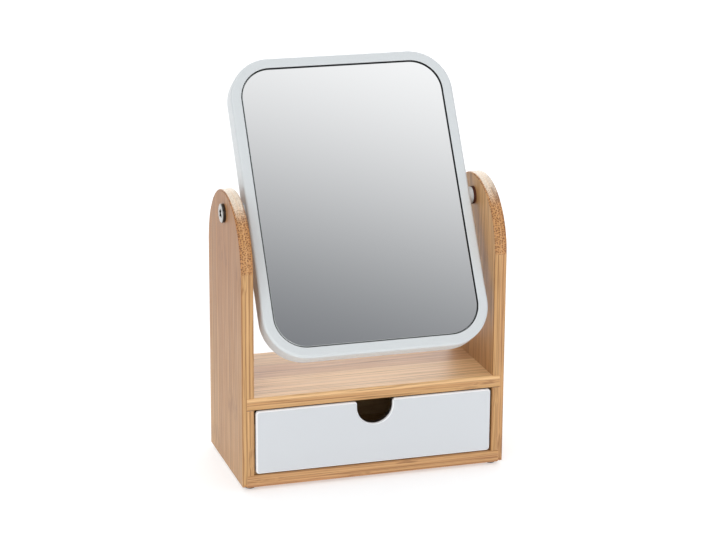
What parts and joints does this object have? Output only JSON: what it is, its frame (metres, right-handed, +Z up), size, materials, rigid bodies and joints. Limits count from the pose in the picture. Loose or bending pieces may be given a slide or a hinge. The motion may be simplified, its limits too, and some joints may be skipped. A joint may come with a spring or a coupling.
{
  "type": "makeup mirror with drawer",
  "caption": "Table-top makeup mirror whose white frame tilts between round-topped bamboo side panels, above a shelf and a white-fronted drawer with a finger notch.",
  "frame": {"origin": "on the table top, under the middle of the stand", "axes": "+X to the right of a person who looks into the mirror, +Y to the back, +Z up"},
  "size_m": [0.2052, 0.1312, 0.2964],
  "materials": {
    "bamboo": "clear lacquered, satin",
    "plywood": "sanded, unfinished",
    "white_paint": "fibreboard with satin white lacquer",
    "white_plastic": "moulded, satin gloss",
    "mirror": "silvered glass, polished",
    "foam": "foam tape",
    "brass": "machined",
    "chrome": "chrome plated",
    "dark_rubber": "matt"
  },
  "bodies": {
    "stand": {"left_side_panel": "bamboo", "right_side_panel": "bamboo", "shelf": "bamboo", "bottom_board": "bamboo", "back_panel": "plywood", "foot_front_left": "dark_rubber", "foot_front_right": "dark_rubber", "foot_back_left": "dark_rubber", "foot_back_right": "dark_rubber"},
    "drawer": {"drawer_front": "white_paint", "drawer_left_side": "plywood", "drawer_right_side": "plywood", "drawer_back": "plywood", "drawer_bottom": "plywood"},
    "mirror": {"mirror_frame": "white_plastic", "rear_cover": "white_plastic", "mirror_glass": "mirror", "glass_tape": "foam", "left_insert": "brass", "right_insert": "brass", "left_spacer": "white_plastic", "right_spacer": "white_plastic", "left_friction_washer": "dark_rubber", "right_friction_washer": "dark_rubber", "left_pivot_screw": "chrome", "right_pivot_screw": "chrome"}
  },
  "joints": [
    {"name": "mirror_tilt", "type": "hinge", "parent": "stand", "child": "mirror", "pos_m": [0, 0, 0.1964], "axis": [1, 0, 0], "continuous": true},
    {"name": "drawer_slide", "type": "slide", "parent": "stand", "child": "drawer", "axis": [0, -1, 0], "range_m": [0, 0.07]}
  ]
}
